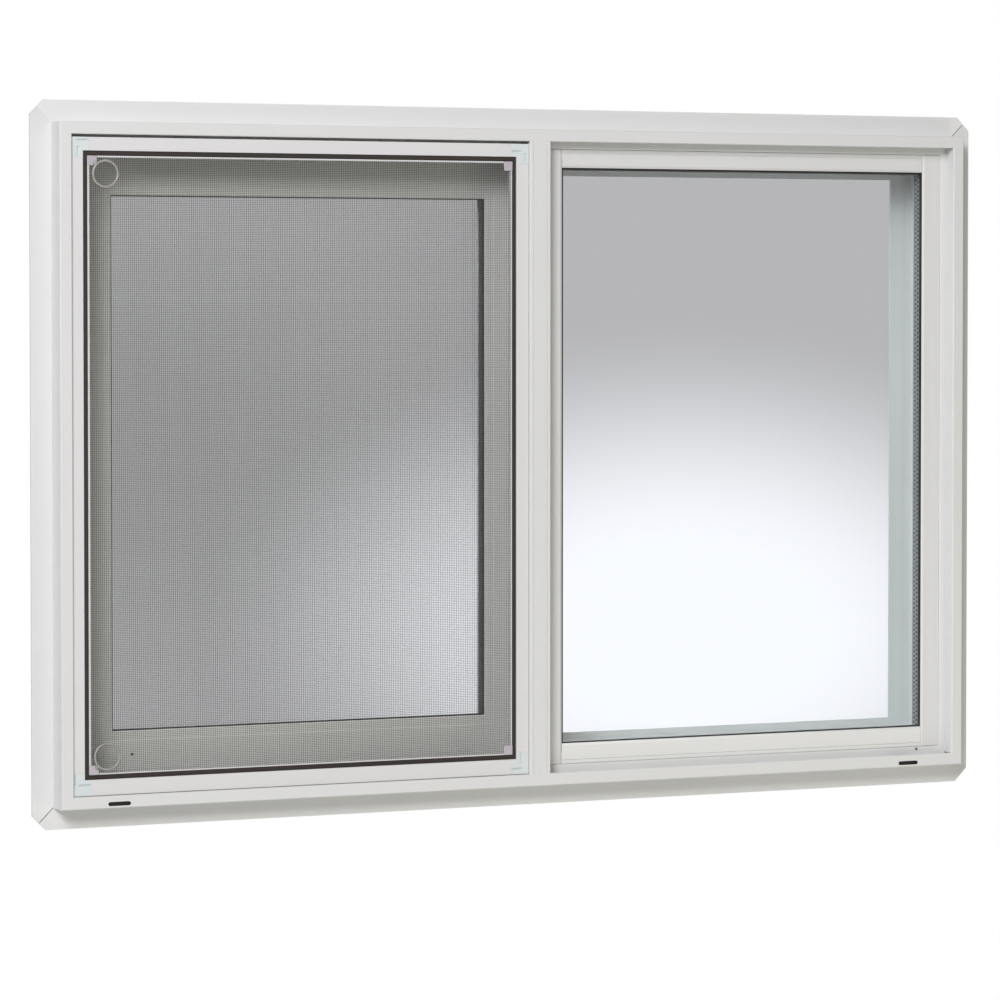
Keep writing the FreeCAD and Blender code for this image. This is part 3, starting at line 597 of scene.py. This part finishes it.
def pull_rings():
    """The two rings of the screen, each with a foot on its corner pad."""
    low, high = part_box("screen_pull_tabs")
    bm = bmesh.new()
    reach = RING_RADIUS + RING_WIRE
    for side, z in ((1, high.z - reach), (-1, low.z + reach)):
        centre = Vector((high.x - reach, (low.y + high.y) / 2, z))
        section = bmesh.ops.create_circle(bm, segments=RING_SIDES, radius=RING_WIRE,
                                          matrix=Matrix.Translation(centre + Vector((RING_RADIUS, 0, 0))))
        loop = list({e for v in section["verts"] for e in v.link_edges}) + section["verts"]
        bmesh.ops.spin(bm, geom=loop, cent=centre, axis=(0, 1, 0), angle=math.tau, steps=RING_STEPS,
                       use_merge=True)
        outer = centre + Vector((-FOOT_REACH, 0, side * FOOT_REACH))
        inner = outer + Vector((FOOT_WIDTH, 0, -side * FOOT_WIDTH))
        box_between(bm, Vector((outer.x, high.y - RING_WIRE, min(outer.z, inner.z))),
                    Vector((inner.x, high.y, max(outer.z, inner.z))))
    bmesh.ops.remove_doubles(bm, verts=bm.verts, dist=MERGE)
    bmesh.ops.recalc_face_normals(bm, faces=bm.faces)
    made = piece(bm, "pull_rings", TAB_PLASTIC, "frame", "tab", "screen_pull_tabs")
    made.data.shade_smooth()


proud_gasket()
woven_mesh()
perforations("fixed_spacer", "fixed_perforations", "frame")
perforations("sash_spacer", "sash_perforations", "sash")
pull_rings()


# studio floor, camera, world and lamps
def studio_floor():
    """A round sheet of paper below the window."""
    bm = bmesh.new()
    bmesh.ops.create_circle(bm, cap_ends=True, segments=FLOOR_SIDES, radius=FLOOR_RADIUS,
                            matrix=Matrix.Translation((0, 0, FLOOR_Z)))
    mesh = bpy.data.meshes.new("studio_floor")
    bm.to_mesh(mesh)
    bm.free()
    mesh.materials.append(FLOOR_PAPER)
    floor = bpy.data.objects.new("studio_floor", mesh)
    SCENE.collection.objects.link(floor)


def photo_camera():
    """The camera that took the photo."""
    camera = bpy.data.objects.new("camera", bpy.data.cameras.new("camera"))
    camera.data.sensor_width = SENSOR
    camera.data.lens = FOCAL * SENSOR / IMAGE
    camera.data.shift_y = (PRINCIPAL_Y - IMAGE / 2) / IMAGE
    camera.data.clip_end = FAR_LIMIT
    turn = Matrix((RIGHT, ABOVE, -AHEAD)).transposed().to_4x4()
    camera.matrix_world = Matrix.Translation(EYE) @ turn
    SCENE.collection.objects.link(camera)
    SCENE.camera = camera


def toward(pixel):
    """World direction through a pixel of the photo."""
    across = (pixel[0] - IMAGE / 2) / FOCAL
    up = (PRINCIPAL_Y - pixel[1]) / FOCAL
    return (AHEAD + RIGHT * across + ABOVE * up).normalized()


def feed(tree, socket, term):
    """Link a socket to another one, or set it to a plain value."""
    if isinstance(term, bpy.types.NodeSocket):
        tree.links.new(term, socket)
    else:
        socket.default_value = term


def reckon(tree, operation, first, second):
    """Work out a value from two terms, each a socket or a number."""
    node = place(tree, "ShaderNodeMath", operation=operation)
    feed(tree, node.inputs[0], first)
    feed(tree, node.inputs[1], second)
    return node.outputs["Value"]


def mixed(tree, share, a, b):
    """A colour that goes from a to b, each a socket or a colour, as the share goes from 0 to 1."""
    node = place(tree, "ShaderNodeMix", data_type="RGBA")
    feed(tree, node.inputs["Factor"], share)
    feed(tree, node.inputs["A"], a)
    feed(tree, node.inputs["B"], b)
    return node.outputs["Result"]


def away_from(tree, direction, pixel, near, far):
    """A share that goes from 0 to 1 between two distances from a pixel of the backdrop."""
    reach = place(tree, "ShaderNodeVectorMath", operation="DISTANCE")
    reach.inputs[1].default_value = toward(pixel) * SQUASH
    share = place(tree, "ShaderNodeMapRange", From_Min=near / FOCAL, From_Max=far / FOCAL,
                  interpolation_type="SMOOTHSTEP")
    tree.links.new(direction, reach.inputs[0])
    tree.links.new(reach.outputs["Value"], share.inputs["Value"])
    return share.outputs["Result"]


def studio_world():
    """White to the camera; a grey backdrop with a pool of light through glass; even light elsewhere."""
    world = bpy.data.worlds.new("studio")
    SCENE.world = world
    world.use_nodes = True
    tree = world.node_tree
    back = tree.nodes["Background"]
    ray = place(tree, "ShaderNodeLightPath").outputs
    where = place(tree, "ShaderNodeTexCoord")
    squash = place(tree, "ShaderNodeVectorMath", operation="MULTIPLY")
    squash.inputs[1].default_value = SQUASH
    tree.links.new(where.outputs["Generated"], squash.inputs[0])
    direction = squash.outputs["Vector"]
    off_dim = away_from(tree, direction, DIM_PIXEL, DIM_NEAR, DIM_FAR)
    off_pool = away_from(tree, direction, POOL_PIXEL, POOL_NEAR, POOL_FAR)
    grey = mixed(tree, off_dim, BACKDROP_DIM, BACKDROP_GREY)
    backdrop = mixed(tree, off_pool, POOL_LIGHT, grey)

    # the backdrop is for rays that come straight from the camera by way of the glass
    by_glass = reckon(tree, "MAXIMUM", ray["Is Glossy Ray"], ray["Is Transmission Ray"])
    straight = reckon(tree, "LESS_THAN", ray["Diffuse Depth"], FIRST_BOUNCE)
    to_backdrop = reckon(tree, "MULTIPLY", by_glass, straight)
    level = mixed(tree, to_backdrop, AMBIENT, backdrop)
    feed(tree, back.inputs["Color"], mixed(tree, ray["Is Camera Ray"], level, WHITE))

    # light that reaches a surface through glass is counted once, as shadow rays
    bounced = reckon(tree, "GREATER_THAN", ray["Diffuse Depth"], FIRST_BOUNCE)
    counted = reckon(tree, "MULTIPLY", ray["Is Transmission Ray"], bounced)
    feed(tree, back.inputs["Strength"], reckon(tree, "SUBTRACT", 1.0, counted))


def lamp(name, at, aim, size, watts, tint=(1, 1, 1), mirrored=True):
    """A soft round lamp at a place, turned to a point; glass lets its light by as shadow rays only."""
    light = bpy.data.lights.new(name, "AREA")
    light.shape = "DISK"
    light.size = size
    light.energy = watts
    light.color = tint
    holder = bpy.data.objects.new(name, light)
    holder.location = at
    holder.rotation_euler = (Vector(aim) - Vector(at)).to_track_quat("-Z", "Y").to_euler()
    holder.visible_transmission = False
    holder.visible_camera = False
    holder.visible_glossy = mirrored
    SCENE.collection.objects.link(holder)


studio_floor()
photo_camera()
studio_world()
lamp("key_lamp", at=(-2.5, -3.0, 2.25), aim=LAMP_AIM, size=1.8, watts=142, tint=(1, 0.992, 1.025))
lamp("fill_lamp", at=(0.6, -1.2, -0.42), aim=(0.25, 0, 0), size=0.5, watts=2.6, tint=(1, 0.985, 0.78),
     mirrored=False)
lamp("room_lamp", at=(1.2, 3.4, 1.9), aim=LAMP_AIM, size=1.6, watts=90)
